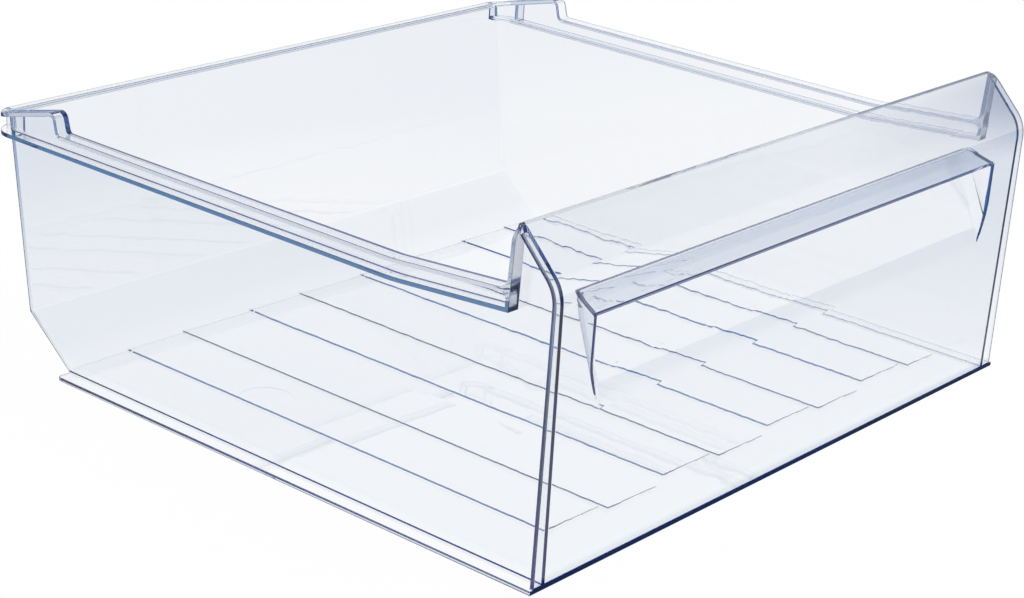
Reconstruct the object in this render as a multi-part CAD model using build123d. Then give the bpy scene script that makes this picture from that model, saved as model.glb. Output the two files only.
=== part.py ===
"""Clear drawer for a refrigerator or freezer, with a sloped front and a finger pocket.

Millimetres. +Z is up, the front faces -Y, and the origin is the middle of the underside.
The drawer is modelled as its members: floor, walls, front, pocket, rails and ribs. Each is a
solid of its own, and they meet face to face along the lines where one turns into the next.
"""
from build123d import *
import math
import os

# ---- overall sizes
overall_width = 440.0        # over the floor runners and over the rails
overall_depth = 410.0        # front face to the edge of the rear rim
overall_height = 181.6       # underside of the floor to the top of the front
wall = 2.4                   # every wall, rail and rib

# ---- body
rim_height = 145.0           # top of the side and rear walls
rail_reach = 7.1             # rails stand out this far from the walls at the rim
side_draft = 2.6             # each side wall is this much further in at the floor
rear_rim_reach = 5.1         # rear rim stands out this far from the rear wall
rear_draft = 14.4            # rear wall is this much further forward at the knee
corner_land = 1.0            # flat of the rear wall that stays with each side wall
knee_height = 27.2           # rear wall turns into the ramp here
ramp_length = 31.0           # level length of the ramp, from the floor to the knee
corner_radius = 6.0          # outside of the upright rear corners and of the ramp's sides
runner_setback = 58.0        # rim's rear edge to the rear end of the floor runners
runner_corner_radius = 3.0   # rear corners of the floor runners
rim_corner_radius = 16.0     # rear corners of the rim in plan

# ---- front
front_lean = 1.0             # foot of the front is this much behind the bend
bend_height = 155.7          # the upright part would meet the slope here
slope_depth = 25.2           # the slope runs back this far to its top edge
bend_radius = 17.6           # inside of the bend
front_corner_radius = 5.0    # top corners of the front
front_side_inset = 2.5       # each side edge of the front is this far inside the overall width

# ---- finger pocket
pocket_top = 134.0           # lower edge of the lip above the pocket
pocket_opening = 38.0        # height of the opening in the front
pocket_depth = 18.8          # front face to the back of the pocket
pocket_rise = 7.4            # the ceiling is this much higher at the back
pocket_side_gap = 32.8       # edge of the front to the end of the opening
pocket_end_taper = 4.7       # each end is this much further in at the back
pocket_corner_radius = 9.0   # upright inside corners of the pocket
pocket_back_upright = 7.9    # the top of the pocket's back is this tall and nearly upright
pocket_back_lean = 1.4       # and leans back by this much

# ---- rails on the side walls
guide_gap = 7.2              # clear height of the channel between rim and guide rail
front_rise = 5.6             # rim and guide rail rise by this much towards the tab
rise_length = 73.6           # over this length
rise_radius = 120.0          # bend where the rise starts
tab_setback = 27.6           # front face of the drawer to the middle of the tab's foot
tab_lean = 2.0               # top of the tab is this much further forward
tab_fillet = 6.0             # rim rail turns up into the tab
tab_fillet_under = 3.0       # and down into it
stop_height = 12.5           # rear stop stands above the rim
stop_length = 51.3           # from the stop's front to the rear wall
stop_lean = 3.3              # the stop's front face leans back
stop_radius = 2.6            # inside radius of the stop's bends

# ---- ribs that close the channel at the rear corners
side_rib_setback = 16.3      # outer face of the rear wall to the middle of the side rib
rear_rib_inset = 5.7         # outer face of the side wall to the middle of the rear rib

# ---- floor strips: shallow wedges that keep wet food off the flat
strip_count = 8
strip_pair_pitch = 97.8      # two strips and the flat beside them
strip_first = 45.9           # inner face of the left wall to the first strip
strip_second = 42.5          # first strip to the second one
strip_width = 42.5
strip_step = 1.2             # height of each strip's tall edge
strip_front_setback = 39.4   # front face to the front end of the strips
strip_stagger = 5.3          # every second strip comes this much further forward
strip_climb = 9.0            # strips climb the ramp for this length

# ---- places that follow from the sizes
front_y = -overall_depth / 2
rim_rear_y = overall_depth / 2
side_x = overall_width / 2
floor_top = wall
rear_y = rim_rear_y - rear_rim_reach
knee_y = rear_y - rear_draft
ramp_foot_y = knee_y - ramp_length
ramp_slope = (knee_height - floor_top) / ramp_length
wall_x_rim = side_x - rail_reach
wall_x_floor = wall_x_rim - side_draft
front_x = side_x - front_side_inset
tab_y = front_y + tab_setback
rise_start_y = tab_y + rise_length
stop_front_y = rear_y - stop_length
guide_height = rim_height - wall - guide_gap
split_x = wall_x_floor - corner_radius - corner_land    # side walls end here on the rear wall
margin = 60.0                                           # cutting bodies reach this far past the drawer

front_path = [(front_y + front_lean, floor_top), (front_y, bend_height),
              (front_y + slope_depth, overall_height)]
rim_path = [(rim_rear_y + margin, rim_height), (rear_y, rim_height),
            (stop_front_y, rim_height + stop_height), (stop_front_y - stop_lean, rim_height),
            (rise_start_y, rim_height), (tab_y, rim_height + front_rise)]
rim_radii = [stop_radius, stop_radius, stop_radius, rise_radius]
guide_path = [(rim_rear_y + margin, guide_height), (rise_start_y, guide_height),
              (tab_y, guide_height + front_rise)]
guide_radii = [rise_radius]


# ---- outlines
def side_wall_x(z):
    """Outer face of the side wall at height z."""
    return wall_x_floor + side_draft * (z - floor_top) / (rim_height - floor_top)


def rear_wall_y(z):
    """Outer face of the rear wall at height z."""
    return rear_y - rear_draft * (rim_height - z) / (rim_height - knee_height)


def unit(a, b):
    length = math.dist(a, b)
    return (b[0] - a[0]) / length, (b[1] - a[1]) / length


def offset_path(path, distance):
    """The open path moved to its left by distance, with mitred corners."""
    steps = [unit(a, b) for a, b in zip(path, path[1:])]
    normals = [(-v, u) for u, v in steps]
    moved = [(path[0][0] + normals[0][0] * distance, path[0][1] + normals[0][1] * distance)]
    for point, before, after in zip(path[1:-1], normals, normals[1:]):
        scale = distance / (1 + before[0] * after[0] + before[1] * after[1])
        moved.append((point[0] + (before[0] + after[0]) * scale,
                      point[1] + (before[1] + after[1]) * scale))
    moved.append((path[-1][0] + normals[-1][0] * distance,
                  path[-1][1] + normals[-1][1] * distance))
    return moved


def turns_left(a, b, c):
    return (b[0] - a[0]) * (c[1] - b[1]) - (b[1] - a[1]) * (c[0] - b[0]) > 0


def rounded_yz(points, radii):
    """Face in the YZ plane through (y, z) points, with an arc of its radius at each corner."""
    edges = []
    ends = []
    count = len(points)
    for i, (corner, radius) in enumerate(zip(points, radii)):
        before = unit(corner, points[i - 1])
        after = unit(corner, points[(i + 1) % count])
        if radius <= 0:
            ends.append((corner, corner))
            continue
        cosine = before[0] * after[0] + before[1] * after[1]
        half = math.acos(max(-1.0, min(1.0, cosine))) / 2
        reach = radius / math.tan(half)
        start = (corner[0] + before[0] * reach, corner[1] + before[1] * reach)
        end = (corner[0] + after[0] * reach, corner[1] + after[1] * reach)
        towards = unit((0, 0), (before[0] + after[0], before[1] + after[1]))
        middle = radius / math.sin(half) - radius
        on_arc = (corner[0] + towards[0] * middle, corner[1] + towards[1] * middle)
        edges.append(ThreePointArc((0, *start), (0, *on_arc), (0, *end)))
        ends.append((start, end))
    for i in range(count):
        a = ends[i][1]
        b = ends[(i + 1) % count][0]
        if math.dist(a, b) > 1e-6:
            edges.append(Line((0, *a), (0, *b)))
    return make_face(Wire(edges))


def prism_yz(points, radii=None, x_from=-side_x - margin, x_to=side_x + margin):
    """The (y, z) outline extruded along X."""
    outline = rounded_yz(points, radii or [0] * len(points))
    return Pos(x_from, 0, 0) * extrude(outline, x_to - x_from, dir=(1, 0, 0))


def strip_yz(path, radii, thickness, **along):
    """A band to the left of the path, or to its right if thickness is below zero.

    The radii are those inside the bends.
    """
    other = offset_path(path, thickness)
    own = [0.0]
    opposite = [0.0]
    for i, radius in enumerate(radii, start=1):
        bends_towards_band = turns_left(*path[i - 1:i + 2]) == (thickness > 0)
        outside = radius + abs(thickness)
        own.append(outside if bends_towards_band else radius)
        opposite.append(radius if bends_towards_band else outside)
    own.append(0.0)
    opposite.append(0.0)
    return prism_yz(path + other[::-1], own + opposite[::-1], **along)


def below_yz(path, radii, drop, depth_to, **along):
    """Everything below a path that runs from the rear to the front, lowered by drop."""
    lowered = offset_path(path, drop)
    corner_radii = [0.0]
    for i, radius in enumerate(radii, start=1):
        inside = turns_left(*path[i - 1:i + 2])
        corner_radii.append(radius + (wall - drop if inside else drop))
    corner_radii.append(0.0)
    closing = [(lowered[-1][0], depth_to), (lowered[0][0], depth_to)]
    return prism_yz(lowered + closing, corner_radii + [0.0, 0.0], **along)


def box_between(low, high):
    size = [b - a for a, b in zip(low, high)]
    middle = [(a + b) / 2 for a, b in zip(low, high)]
    return Pos(*middle) * Box(*size)


def edges_near(solid, *places):
    """The edge of the solid whose middle lies nearest to each place."""
    return [min(solid.edges(), key=lambda edge: (edge.center() - Vector(*place)).length)
            for place in places]


# ---- bodies that several members are cut from
def tub_block(inset):
    """The drawer's body as a filled block, its walls moved in by inset."""
    foot = 0.0
    head = overall_height + margin

    def section(z):
        half = side_wall_x(z) - inset
        rear = rear_wall_y(z) - inset
        return make_face(Polyline((-half, front_y - margin, z), (half, front_y - margin, z),
                                  (half, rear, z), (-half, rear, z), close=True))

    block = loft([section(foot), section(head)], ruled=True)
    lift = inset * math.hypot(1, ramp_slope)
    under_ramp = [(ramp_foot_y - margin, floor_top - margin * ramp_slope + lift),
                  (knee_y + margin, knee_height + margin * ramp_slope + lift),
                  (knee_y + margin, -margin), (ramp_foot_y - margin, -margin)]
    block -= prism_yz(under_ramp)
    ramp_y = (ramp_foot_y + knee_y) / 2
    ramp_z = (floor_top + knee_height) / 2 + lift
    wall_z = (knee_height + head) / 2
    corners = []
    for sign in (-1, 1):
        corners.append((sign * (side_wall_x(wall_z) - inset), rear_wall_y(wall_z) - inset, wall_z))
        corners.append((sign * (side_wall_x(ramp_z) - inset), ramp_y, ramp_z))
    return fillet(edges_near(block, *corners), corner_radius - inset)


def tub_shell():
    """Side walls, rear wall and ramp in one, standing on the floor, behind the front."""
    shell = tub_block(0) - tub_block(wall)
    shell -= box_between((-side_x, front_y - 2 * margin, -margin), (side_x, rim_rear_y, floor_top))
    return shell - front_zone()


def front_zone():
    """Everything in front of the front's inner face."""
    inner = offset_path(front_path, -wall)
    slope = unit(inner[1], inner[2])
    below_foot = (inner[0][0], -margin)
    head = (inner[2][0] + slope[0] * margin, inner[2][1] + slope[1] * margin)
    outline = [below_foot, inner[0], inner[1], head, (front_y - 2 * margin, head[1]),
               (front_y - 2 * margin, -margin)]
    return prism_yz(outline, [0, 0, bend_radius, 0, 0, 0])


def tab_outline():
    """The tab seen from the side, carried on above the front; its rear line comes first."""
    foot_z = guide_height + front_rise - wall
    rate = tab_lean / (overall_height - foot_z)
    top_z = overall_height + wall
    top_y = tab_y - rate * (top_z - foot_z)
    half = wall / 2
    return [(tab_y + half, foot_z), (top_y + half, top_z), (top_y - half, top_z),
            (tab_y - half, foot_z)]


def wall_top_profile():
    """Everything below the top line of the side walls."""
    under_rim = below_yz(rim_path, rim_radii, 0.0, -margin)
    tab_rear_foot, tab_rear_top = tab_outline()[:2]
    ahead_of_tab = prism_yz([(tab_rear_foot[0], -margin), tab_rear_foot, tab_rear_top,
                             (front_y - 2 * margin, tab_rear_top[1]),
                             (front_y - 2 * margin, -margin)])
    level = box_between((-side_x - margin, front_y - 2 * margin, -margin),
                        (side_x + margin, rim_rear_y + 2 * margin, overall_height))
    return (under_rim + ahead_of_tab) & level


def rail_band():
    """The space that the rails fill in plan: from the walls' outer faces to the rim's edge."""
    low_z = floor_top
    outline = box_between((-side_x, tab_y - wall / 2, low_z),
                          (side_x, rim_rear_y, overall_height + wall))
    middle = (low_z + overall_height + wall) / 2
    outline = fillet(edges_near(outline, (-side_x, rim_rear_y, middle),
                                (side_x, rim_rear_y, middle)), rim_corner_radius)
    return outline - tub_block(0)


def outline_from_front(half_width):
    """A body as wide as the front or the tabs, above the floor, with round top corners."""
    body = box_between((-half_width, front_y - margin, floor_top), (half_width, 0, overall_height))
    middle_y = (front_y - margin) / 2
    corners = [(sign * half_width, middle_y, overall_height) for sign in (-1, 1)]
    return fillet(edges_near(body, *corners), front_corner_radius + half_width - front_x)


def side_slab(sign, x_from=None):
    """Everything beyond x_from on the left (sign -1) or right (sign 1)."""
    near = split_x if x_from is None else x_from
    far = side_x + margin
    low_x, high_x = sorted((sign * near, sign * far))
    return box_between((low_x, front_y - 2 * margin, -margin),
                       (high_x, rim_rear_y + margin, overall_height + margin))


def middle_slab():
    """Everything between the two side walls."""
    return box_between((-split_x, front_y - 2 * margin, -margin),
                       (split_x, rim_rear_y + margin, overall_height + margin))


# ---- members
def floor_plate():
    """The floor with its runners, which stand out past the walls, and the foot of the ramp."""
    runner_end = rim_rear_y - runner_setback
    plate = box_between((-side_x, front_y + front_lean, 0), (side_x, runner_end, floor_top))
    corners = [(sign * side_x, runner_end, floor_top / 2) for sign in (-1, 1)]
    plate = fillet(edges_near(plate, *corners), runner_corner_radius)
    under_walls = box_between((-side_x, runner_end - wall, 0), (side_x, rim_rear_y, floor_top))
    return plate + (under_walls & tub_block(0))


def side_wall(sign, shell, top_profile):
    return shell & side_slab(sign) & top_profile


def above_knee():
    """Everything above the mitre where the rear wall turns into the ramp."""
    inner_z = knee_height + wall * math.hypot(1, ramp_slope) - wall * ramp_slope
    outer = (knee_y, knee_height)
    inner = (rear_wall_y(inner_z) - wall, inner_z)
    step = unit(outer, inner)
    far_in = (inner[0] + step[0] * margin, inner[1] + step[1] * margin)
    far_out = (outer[0] - step[0] * margin, outer[1] - step[1] * margin)
    top = rim_height
    return prism_yz([far_out, far_in, (far_in[0], top), (far_out[0], top)])


def rear_wall(shell):
    return shell & middle_slab() & above_knee()


def rear_ramp(shell):
    behind_floor = box_between((-side_x, front_y / 2, -margin), (side_x, rim_rear_y, rim_height))
    return (shell & middle_slab() & behind_floor) - above_knee()


def pocket_block(grow):
    """The space of the finger pocket, with its faces moved out by grow."""
    path = [(front_y, pocket_top - pocket_opening),
            (front_y + pocket_depth - pocket_back_lean, pocket_top + pocket_rise - pocket_back_upright),
            (front_y + pocket_depth, pocket_top + pocket_rise),
            (front_y, pocket_top)]
    moved = offset_path(path, -grow)
    start = unit(path[1], path[0])
    end = unit(path[2], path[3])
    ahead = [(moved[0][0] + start[0] * margin, moved[0][1] + start[1] * margin),
             (moved[3][0] + end[0] * margin, moved[3][1] + end[1] * margin)]
    block = prism_yz([ahead[0], moved[1], moved[2], ahead[1]], [0, 0, wall / 2 + grow, 0])
    half_front = front_x - pocket_side_gap + grow
    half_back = half_front - pocket_end_taper
    taper = pocket_end_taper / pocket_depth
    back_y = front_y + pocket_depth + margin
    plan = make_face(Polyline((-half_front, front_y, 0), (half_front, front_y, 0),
                              (half_front - taper * (back_y - front_y), back_y, 0),
                              (-half_front + taper * (back_y - front_y), back_y, 0), close=True))
    ends = extrude(plan, overall_height, dir=(0, 0, 1))
    ends += box_between((-half_front, front_y - 3 * margin, 0), (half_front, front_y, overall_height))
    block = block & ends
    upright_z = (pocket_top - pocket_opening + pocket_top) / 2
    middle_y = front_y + pocket_depth / 2
    corners = [(sign * (half_front + half_back) / 2, middle_y, upright_z) for sign in (-1, 1)]
    return fillet(edges_near(block, *corners), pocket_corner_radius + grow)


def front_panel(cavity):
    slope = unit(front_path[1], front_path[2])
    beyond_top = (front_path[2][0] + slope[0] * 2 * wall, front_path[2][1] + slope[1] * 2 * wall)
    panel = strip_yz(front_path[:2] + [beyond_top], [bend_radius], -wall)
    return (panel & outline_from_front(front_x)) - cavity


def finger_pocket(cavity):
    return pocket_block(wall) - cavity - front_zone()


def rim_rail(sign, band):
    """Top rail of a side wall: rear stop, long run, and the fillets where it meets the tab."""
    strip = band & strip_yz(rim_path, rim_radii, wall) & side_slab(sign)
    tab = prism_yz(tab_outline())
    joined = strip + (tab & band & outline_from_front(side_x) & side_slab(sign, 0))
    middle_x = sign * (side_x - rail_reach / 2)
    tab_rear = tab_y + wall / 2
    top_z = rim_height + front_rise
    joined = fillet(edges_near(joined, (middle_x, tab_rear, top_z)), tab_fillet)
    joined = fillet(edges_near(joined, (middle_x, tab_rear, top_z - wall)), tab_fillet_under)
    return joined - tab


def rear_rim_rail(band):
    return band & strip_yz(rim_path, rim_radii, wall) & middle_slab()


def guide_rail(sign, band):
    rail = band & strip_yz(guide_path, guide_radii, wall)
    reach = wall_x_rim - rear_rib_inset - wall / 2
    return (rail & side_slab(sign, reach)) - prism_yz(tab_outline())


def front_tab(sign):
    """Upright tab at the front end of the rails, running up into the front's top corner."""
    upright = prism_yz(tab_outline())
    tab = upright & outline_from_front(side_x) & side_slab(sign, 0)
    return tab - front_zone() - tub_block(0)


def rail_channel():
    """The space between the guide rail's top and the rim rail's underside."""
    return below_yz(rim_path, rim_radii, wall, -margin) - below_yz(guide_path, guide_radii, 0, -2 * margin)


def side_rib(sign, band, channel):
    middle = rear_y - side_rib_setback
    slab = box_between((-side_x, middle - wall / 2, 0), (side_x, middle + wall / 2, overall_height))
    return band & slab & channel & side_slab(sign)


def rear_rib(sign, band, channel):
    middle = sign * (wall_x_rim - rear_rib_inset)
    slab = box_between((middle - wall / 2, 0, 0), (middle + wall / 2, rim_rear_y, overall_height))
    return band & slab & channel


def floor_strip(index):
    """Wedge with its tall edge on the left, running from near the front up onto the ramp."""
    pair, second = divmod(index, 2)
    left = -wall_x_floor + strip_first + pair * strip_pair_pitch + second * strip_second + wall
    right = min(left + strip_width, wall_x_floor - corner_radius)
    height = strip_step * (right - left) / strip_width
    front = front_y + strip_front_setback - second * strip_stagger
    lift = wall * math.hypot(1, ramp_slope)
    bend = ramp_foot_y - (lift / ramp_slope)
    climb = strip_climb / math.hypot(1, ramp_slope)
    end = (bend + climb, floor_top + climb * ramp_slope)
    low = [(front, floor_top), (bend, floor_top), end]

    def section(y, z, tall):
        return Polyline((left, y, z), (left, y, z + tall), (right, y, z), close=True)

    sections = [make_face(section(y, z, height)) for y, z in low]
    level = loft(sections[:2], ruled=True)
    climbing = loft(sections[1:], ruled=True)
    return level + climbing


def save(name, shape):
    solids = shape.solids()
    print(f"{name}: {len(solids)} solid, {shape.volume / 1000:.1f} cm3")
    export_step(Compound(children=list(solids)) if len(solids) > 1 else solids[0],
                f"parts/{name}.step")


def main():
    os.makedirs("parts", exist_ok=True)
    shell = tub_shell()
    top_profile = wall_top_profile()
    band = rail_band()
    channel = rail_channel()
    cavity = pocket_block(0)

    save("floor_plate", floor_plate())
    save("rear_wall", rear_wall(shell))
    save("rear_ramp", rear_ramp(shell))
    save("front_panel", front_panel(cavity))
    save("finger_pocket", finger_pocket(cavity))
    save("rear_rim_rail", rear_rim_rail(band))
    for side, sign in (("left", -1), ("right", 1)):
        save(f"{side}_side_wall", side_wall(sign, shell, top_profile))
        save(f"{side}_rim_rail", rim_rail(sign, band))
        save(f"{side}_guide_rail", guide_rail(sign, band))
        save(f"{side}_front_tab", front_tab(sign))
        save(f"{side}_side_rib", side_rib(sign, band, channel))
        save(f"{side}_rear_rib", rear_rib(sign, band, channel))
    for index in range(strip_count):
        save(f"floor_strip_{index + 1}", floor_strip(index))


main()
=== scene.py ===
import math
import bpy
import bmesh
from mathutils import Matrix, Vector


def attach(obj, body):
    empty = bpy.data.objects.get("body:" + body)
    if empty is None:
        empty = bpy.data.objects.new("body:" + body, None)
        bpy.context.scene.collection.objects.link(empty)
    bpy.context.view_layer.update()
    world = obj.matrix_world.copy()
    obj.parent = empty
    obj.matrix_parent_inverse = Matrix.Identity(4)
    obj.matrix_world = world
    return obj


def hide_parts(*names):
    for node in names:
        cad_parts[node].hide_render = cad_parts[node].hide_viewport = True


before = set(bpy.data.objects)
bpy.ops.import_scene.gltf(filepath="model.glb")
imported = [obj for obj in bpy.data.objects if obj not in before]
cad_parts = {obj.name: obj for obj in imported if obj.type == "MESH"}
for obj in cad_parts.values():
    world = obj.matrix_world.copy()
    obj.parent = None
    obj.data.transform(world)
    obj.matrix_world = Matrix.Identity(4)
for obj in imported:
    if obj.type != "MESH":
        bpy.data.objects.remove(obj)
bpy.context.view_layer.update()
mm = 0.001                       # sizes below are millimetres, Blender's are metres
reach = 60.0                     # cutting bodies reach this far past the drawer
facing = 0.5                     # a face looks along an axis if its normal has more than this of it

tub = {
    "width": 440.0,
    "depth": 410.0,
    "height": 181.6,
    "wall": 2.4,
    "rimHeight": 145.0,
    "railReach": 7.1,            # rails stand out this far from the walls at the rim
    "sideDraft": 2.6,
    "rearRimReach": 5.1,
    "rearDraft": 14.4,
    "kneeHeight": 27.2,
    "rampLength": 31.0,
    "cornerRadius": 6.0,
    "cornerPieces": 10,
    "runnerSetback": 58.0,
    "runnerCorner": 3.0,
    "runnerPieces": 6,
    "rimCorner": 16.0,
    "rimPerTurn": 64,
}
front = {
    "lean": 1.0,
    "bendHeight": 155.7,
    "slopeDepth": 25.2,
    "bendRadius": 17.6,
    "bendPerTurn": 72,
    "cornerRadius": 5.0,
    "cornerPerTurn": 40,
    "sideInset": 2.5,
    "runOn": 1.2,                # the slope is drawn to this many times its length and cut at the top
    "zoneRunOn": 3.0,
}
pocket = {
    "top": 134.0,
    "opening": 38.0,
    "depth": 18.8,
    "rise": 7.4,
    "sideGap": 32.8,
    "endTaper": 4.7,
    "cornerRadius": 9.0,
    "cornerPieces": 14,
    "mostCorner": 0.9,           # a corner takes at most this share of the depth there
    "backUpright": 7.9,
    "backLean": 1.4,
    "lowerBlend": 42.0,          # inside of the bend where the pocket leaves the front
    "backBend": 25.0,
    "bendPerTurn": 120,
    "runDown": 40.0,             # its line follows the front this far under the opening
    "ahead": 20.0,               # and its hollow starts this far in front
    "levelGap": 0.25,            # least height between two of its outlines
    "peakGap": 0.15,             # the last one lies this far under its highest point
}
rails = {
    "guideGap": 7.2,
    "frontRise": 5.6,
    "riseLength": 73.6,
    "riseRadius": 120.0,
    "tabSetback": 27.6,
    "tabLean": 2.0,
    "tabFillet": 6.0,
    "tabFilletUnder": 3.0,
    "stopHeight": 12.5,
    "stopLength": 51.3,
    "stopLean": 3.3,
    "stopRadius": 2.6,
    "sideRibSetback": 16.3,
    "rearRibInset": 5.7,
}
strips = {
    "count": 8,
    "pairPitch": 97.8,
    "first": 45.9,
    "second": 42.5,
    "width": 42.5,
    "step": 0.8,
    "sink": 0.9,                 # they reach this far into the floor
    "frontSetback": 39.4,
    "stagger": 5.3,              # the second strip of a pair starts this much further forward
    "climb": 1.0,                # length on the ramp, where they run out
    "slant": 3.2,                # the first strip of a pair has a slanted side
    "apart": 0.1,                # neighbours stay this far apart, where a strip has run out anyway
    "samePoint": 0.01,
    "dotPitch": 1.3,             # dots where a strip's front edge runs out
    "dotSize": 0.65,
    "dotHeight": 1.2,
    "dotSink": 0.336,            # their middles lie this far under the edge's height
    "dotLead": 0.39,             # and this far ahead of the edge
    "dotsFrom": 27.0,
}
mark = {                         # the mould's round insert, a shallow step under the floor
    "place": (-151.0, 47.5),
    "radius": 15.5,
    "depth": 0.15,
    "sides": 96,
    "sharpBelow": 0.2,           # its own creases stay sharp: those under this height
    "sharpAround": 1.0,          # and within this distance of its rim
}
easing = {
    "free": 0.35,                # radii of the creases
    "inside": 0.3,
    "lip": 2.8,                  # the wall bends here with an even thickness
    "knee": 5.0,
    "mostReach": 1.2,            # a small rounding reaches at most this many radii to each side
    "mostDepth": 0.26,           # and at the pocket's ends this share of the pocket's depth
    "widest": 8.0,
    "segments": 5,
    "creaseAngle": 24.0,
    "kneeLength": 12.0,          # creases this near the knee bend with its radius
    "kneeHeight": 3.5,
    "mouthDepth": 3.2,           # and those in this part of the front with the lip's
    "mouthHeights": (80.0, 139.0),
    "mouthSideGap": 30.0,
}
joins = {
    "samePoint": 0.004,          # points nearer than this become one
    "flatSeam": 0.05,            # degrees under which a seam goes
    "shortEdge": 0.05,
    "level": 0.01,               # an edge with less rise than this is level
    "onPlane": 0.001,
    "smoothFrom": 2.2,           # bends between these angles shade smoothly
    "smoothTo": 35.0,
}

wall = tub["wall"]
frontY = -tub["depth"] / 2
rimRearY = tub["depth"] / 2
sideX = tub["width"] / 2
topZ = tub["height"]
rearY = rimRearY - tub["rearRimReach"]
kneeY = rearY - tub["rearDraft"]
rampFootY = kneeY - tub["rampLength"]
rampSlope = (tub["kneeHeight"] - wall) / tub["rampLength"]
wallXRim = sideX - tub["railReach"]
wallXFloor = wallXRim - tub["sideDraft"]
frontX = sideX - front["sideInset"]
tabY = frontY + rails["tabSetback"]
riseStartY = tabY + rails["riseLength"]
stopFrontY = rearY - rails["stopLength"]
rimZ = tub["rimHeight"]
guideZ = rimZ - wall - rails["guideGap"]
channelZ = guideZ + rails["guideGap"] / 2
footTopZ = 1.02 * wall           # just over the floor plate


# outlines, as (y, z) points seen from the drawer's side

def sideWallX(z):
    return wallXFloor + tub["sideDraft"] * (z - wall) / (rimZ - wall)


def rearWallY(z):
    return rearY - tub["rearDraft"] * (rimZ - z) / (rimZ - tub["kneeHeight"])


def alongLine(a, b, share):
    return a[0] + (b[0] - a[0]) * share, a[1] + (b[1] - a[1]) * share


def crossing(a, b, c, d):
    # where the line a-b meets the line c-d
    ux, uy = b[0] - a[0], b[1] - a[1]
    vx, vy = d[0] - c[0], d[1] - c[1]
    share = ((c[0] - a[0]) * vy - (c[1] - a[1]) * vx) / (ux * vy - uy * vx)
    return alongLine(a, b, share)


def atHeight(a, b, z):
    # where the line a-b reaches height z
    return crossing(a, b, (0.0, z), (1.0, z))


def movedPath(path, distance):
    # the open path moved to its left, with mitred corners
    steps = [(Vector(b) - Vector(a)).normalized() for a, b in zip(path, path[1:])]
    normals = [Vector((-step.y, step.x)) for step in steps]
    moved = [Vector(path[0]) + normals[0] * distance]
    for point, before, after in zip(path[1:-1], normals, normals[1:]):
        moved.append(Vector(point) + (before + after) * (distance / (1 + before.dot(after))))
    moved.append(Vector(path[-1]) + normals[-1] * distance)
    return [tuple(point) for point in moved]


def bandRadii(path, radii, thickness):
    # radii are those inside the bends; the far side of a bend gets the wall on top
    own, other = [0.0], [0.0]
    for i, radius in enumerate(radii, start=1):
        (ax, ay), (bx, by), (cx, cy) = path[i - 1:i + 2]
        left = (bx - ax) * (cy - by) - (by - ay) * (cx - bx) > 0
        outside = radius + abs(thickness)
        bendsTowards = left == (thickness > 0)
        own.append(outside if bendsTowards else radius)
        other.append(radius if bendsTowards else outside)
    return own + [0.0], other + [0.0]


def rounded(points, radii, perTurn=56, pieces=None, shortest=0.4):
    # a corner gets as many pieces as its share of perTurn says, none of them shorter than shortest,
    # or a fixed number of pieces
    outline = []
    for i, (point, radius) in enumerate(zip(points, radii)):
        corner = Vector(point)
        if radius <= 0:
            outline.append(tuple(corner))
            continue
        before = (Vector(points[i - 1]) - corner).normalized()
        after = (Vector(points[(i + 1) % len(points)]) - corner).normalized()
        half = before.angle(after) / 2
        turn = math.pi - 2 * half
        centre = corner + (before + after).normalized() * (radius / math.sin(half))
        start = corner + before * (radius / math.tan(half)) - centre
        end = corner + after * (radius / math.tan(half)) - centre
        steps = max(2, min(math.ceil(turn / math.tau * perTurn), int(radius * turn / shortest)))
        steps = pieces or steps
        for k in range(steps + 1):
            share = k / steps
            spoke = (start * math.sin((1 - share) * turn) + end * math.sin(share * turn)) / math.sin(turn)
            outline.append(tuple(centre + spoke))
    return outline


frontPath = [(frontY + front["lean"] * (1 + wall / (front["bendHeight"] - wall)), 0.0),
             (frontY, front["bendHeight"]),
             (frontY + front["slopeDepth"], topZ)]
footY = frontPath[0][0]
rimPath = [(rimRearY + reach, rimZ),
           (rearY, rimZ),
           (stopFrontY, rimZ + rails["stopHeight"]),
           (stopFrontY - rails["stopLean"], rimZ),
           (riseStartY, rimZ),
           (tabY, rimZ + rails["frontRise"])]
rimRadii = [rails["stopRadius"]] * 3 + [rails["riseRadius"]]
guidePath = [(rimRearY + reach, guideZ),
             (riseStartY, guideZ),
             (tabY, guideZ + rails["frontRise"])]
tabFootZ = guideZ + rails["frontRise"] - wall


def tabLine(side):
    # side +1 is the tab's rear face, -1 its front face
    headZ = topZ + wall
    foot = tabY + side * wall / 2
    rate = rails["tabLean"] / (topZ - tabFootZ)
    return [(foot, tabFootZ), (foot - rate * (headZ - tabFootZ), headZ)]


def rimTopCorners():
    own = bandRadii(rimPath, rimRadii, wall)[0]
    turnUp = crossing(rimPath[-2], rimPath[-1], *tabLine(1))
    return rimPath[:-1] + [turnUp], own[:-1] + [rails["tabFillet"]]


# solids

def opened(piece):
    bm = bmesh.new()
    bm.from_mesh(piece.data)
    return bm


def closed(bm, piece, turnOut=False):
    if turnOut:
        bmesh.ops.recalc_face_normals(bm, faces=bm.faces)
    bm.to_mesh(piece.data)
    bm.free()
    return piece


def settled(piece):
    # what the modifiers make becomes the piece's own mesh
    evaluated = piece.evaluated_get(bpy.context.evaluated_depsgraph_get())
    old = piece.data
    piece.data = bpy.data.meshes.new_from_object(evaluated)
    piece.modifiers.clear()
    bpy.data.meshes.remove(old)
    return piece


def newPiece(name, corners, faces):
    mesh = bpy.data.meshes.new(name)
    mesh.from_pydata([(x * mm, y * mm, z * mm) for x, y, z in corners], [], faces)
    made = bpy.data.objects.new(name, mesh)
    bpy.context.scene.collection.objects.link(made)
    return closed(opened(made), made, turnOut=True)


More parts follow.
